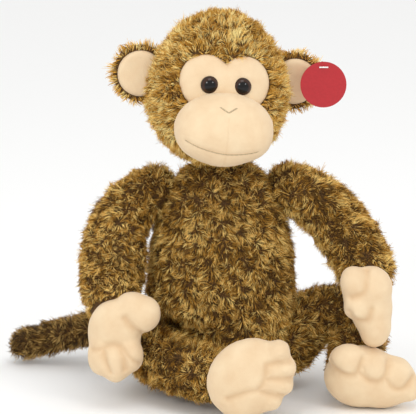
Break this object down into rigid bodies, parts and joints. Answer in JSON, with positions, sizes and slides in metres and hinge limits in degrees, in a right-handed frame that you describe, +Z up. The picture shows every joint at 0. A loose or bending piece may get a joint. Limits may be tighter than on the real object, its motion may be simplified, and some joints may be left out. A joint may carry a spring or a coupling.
{
  "type": "stuffed monkey",
  "caption": "Seated plush monkey with long mottled fur, beige face, ears, hands and feet, glossy eyes, a tail and a plain round swing tag.",
  "frame": {"origin": "centre of the flat seat that the toy sits on", "axes": "+Z up; the toy faces -Y; +X is the toy's own left"},
  "size_m": [0.3249, 0.1909, 0.3029],
  "materials": {
    "plush_fur": "long mottled pile",
    "velboa": "short nap",
    "polyester_fill": "fibre",
    "plastic_pellets": "beads in a bag",
    "eye_plastic": "polished",
    "washer_plastic": "matte",
    "embroidery_thread": "satin stitch",
    "tag_card": "coated",
    "fastener_nylon": "clear",
    "label_satin": "satin"
  },
  "bodies": {
    "torso": {"torso_skin": "plush_fur", "torso_stuffing": "polyester_fill", "seat_pellet_bag": "plastic_pellets", "care_label": "label_satin"},
    "head": {"head_skin": "plush_fur", "head_stuffing": "polyester_fill", "face_patch": "velboa", "muzzle_skin": "velboa", "muzzle_stuffing": "polyester_fill", "nose_stitch": "embroidery_thread", "mouth_stitch": "embroidery_thread", "right_eye": "eye_plastic", "left_eye": "eye_plastic", "right_eye_washer": "washer_plastic", "left_eye_washer": "washer_plastic", "right_ear_back": "plush_fur", "right_ear_lining": "velboa", "left_ear_back": "plush_fur", "left_ear_lining": "velboa", "tag_fastener": "fastener_nylon"},
    "right_arm": {"right_arm_skin": "plush_fur", "right_arm_stuffing": "polyester_fill"},
    "left_arm": {"left_arm_skin": "plush_fur", "left_arm_stuffing": "polyester_fill"},
    "right_hand": {"right_hand_skin": "velboa", "right_hand_pellets": "plastic_pellets"},
    "left_hand": {"left_hand_skin": "velboa", "left_hand_pellets": "plastic_pellets"},
    "right_leg": {"right_leg_skin": "plush_fur", "right_leg_stuffing": "polyester_fill"},
    "left_leg": {"left_leg_skin": "plush_fur", "left_leg_stuffing": "polyester_fill"},
    "right_foot": {"right_foot_skin": "velboa", "right_foot_pellets": "plastic_pellets"},
    "left_foot": {"left_foot_skin": "velboa", "left_foot_pellets": "plastic_pellets"},
    "tail": {"tail_skin": "plush_fur", "tail_stuffing": "polyester_fill"},
    "tag": {"tag_card": "tag_card"}
  },
  "joints": [
    {"name": "head_turn", "type": "hinge", "parent": "torso", "child": "head", "pos_m": [-0.003, -0.004, 0.19], "axis": [0, 0, 1], "range_deg": [-30, 30]},
    {"name": "right_arm_raise", "type": "hinge", "parent": "torso", "child": "right_arm", "pos_m": [-0.053, 0.002, 0.16], "axis": [-1, 0, 0], "range_deg": [0, 100]},
    {"name": "left_arm_raise", "type": "hinge", "parent": "torso", "child": "left_arm", "pos_m": [0.055, 0.002, 0.162], "axis": [-1, 0, 0], "range_deg": [0, 100]},
    {"name": "right_wrist_bend", "type": "hinge", "parent": "right_arm", "child": "right_hand", "pos_m": [-0.085, -0.05, 0.073], "axis": [-1, 0, 0], "range_deg": [0, 25]},
    {"name": "left_wrist_bend", "type": "hinge", "parent": "left_arm", "child": "left_hand", "pos_m": [0.114, -0.054, 0.093], "axis": [-1, 0, 0], "range_deg": [0, 25]},
    {"name": "right_leg_lift", "type": "hinge", "parent": "torso", "child": "right_leg", "pos_m": [-0.052, 0.002, 0.034], "axis": [-1, 0, 0], "range_deg": [0, 18]},
    {"name": "left_leg_splay", "type": "hinge", "parent": "torso", "child": "left_leg", "pos_m": [0.052, 0.002, 0.034], "axis": [0, 0, 1], "range_deg": [0, 20]},
    {"name": "right_ankle_bend", "type": "hinge", "parent": "right_leg", "child": "right_foot", "pos_m": [0.006, -0.082, 0.031], "axis": [0, 0, 1], "range_deg": [-15, 15]},
    {"name": "left_ankle_bend", "type": "hinge", "parent": "left_leg", "child": "left_foot", "pos_m": [0.103, -0.036, 0.03], "axis": [0, 0, 1], "range_deg": [-10, 15]},
    {"name": "tail_sweep", "type": "hinge", "parent": "torso", "child": "tail", "pos_m": [-0.018, 0.047, 0.042], "axis": [0, 0, -1], "range_deg": [-5, 60]},
    {"name": "tag_swing", "type": "hinge", "parent": "head", "child": "tag", "pos_m": [0.07963, -0.00897, 0.26036], "axis": [0, 1, 0], "range_deg": [-20, 20]}
  ]
}
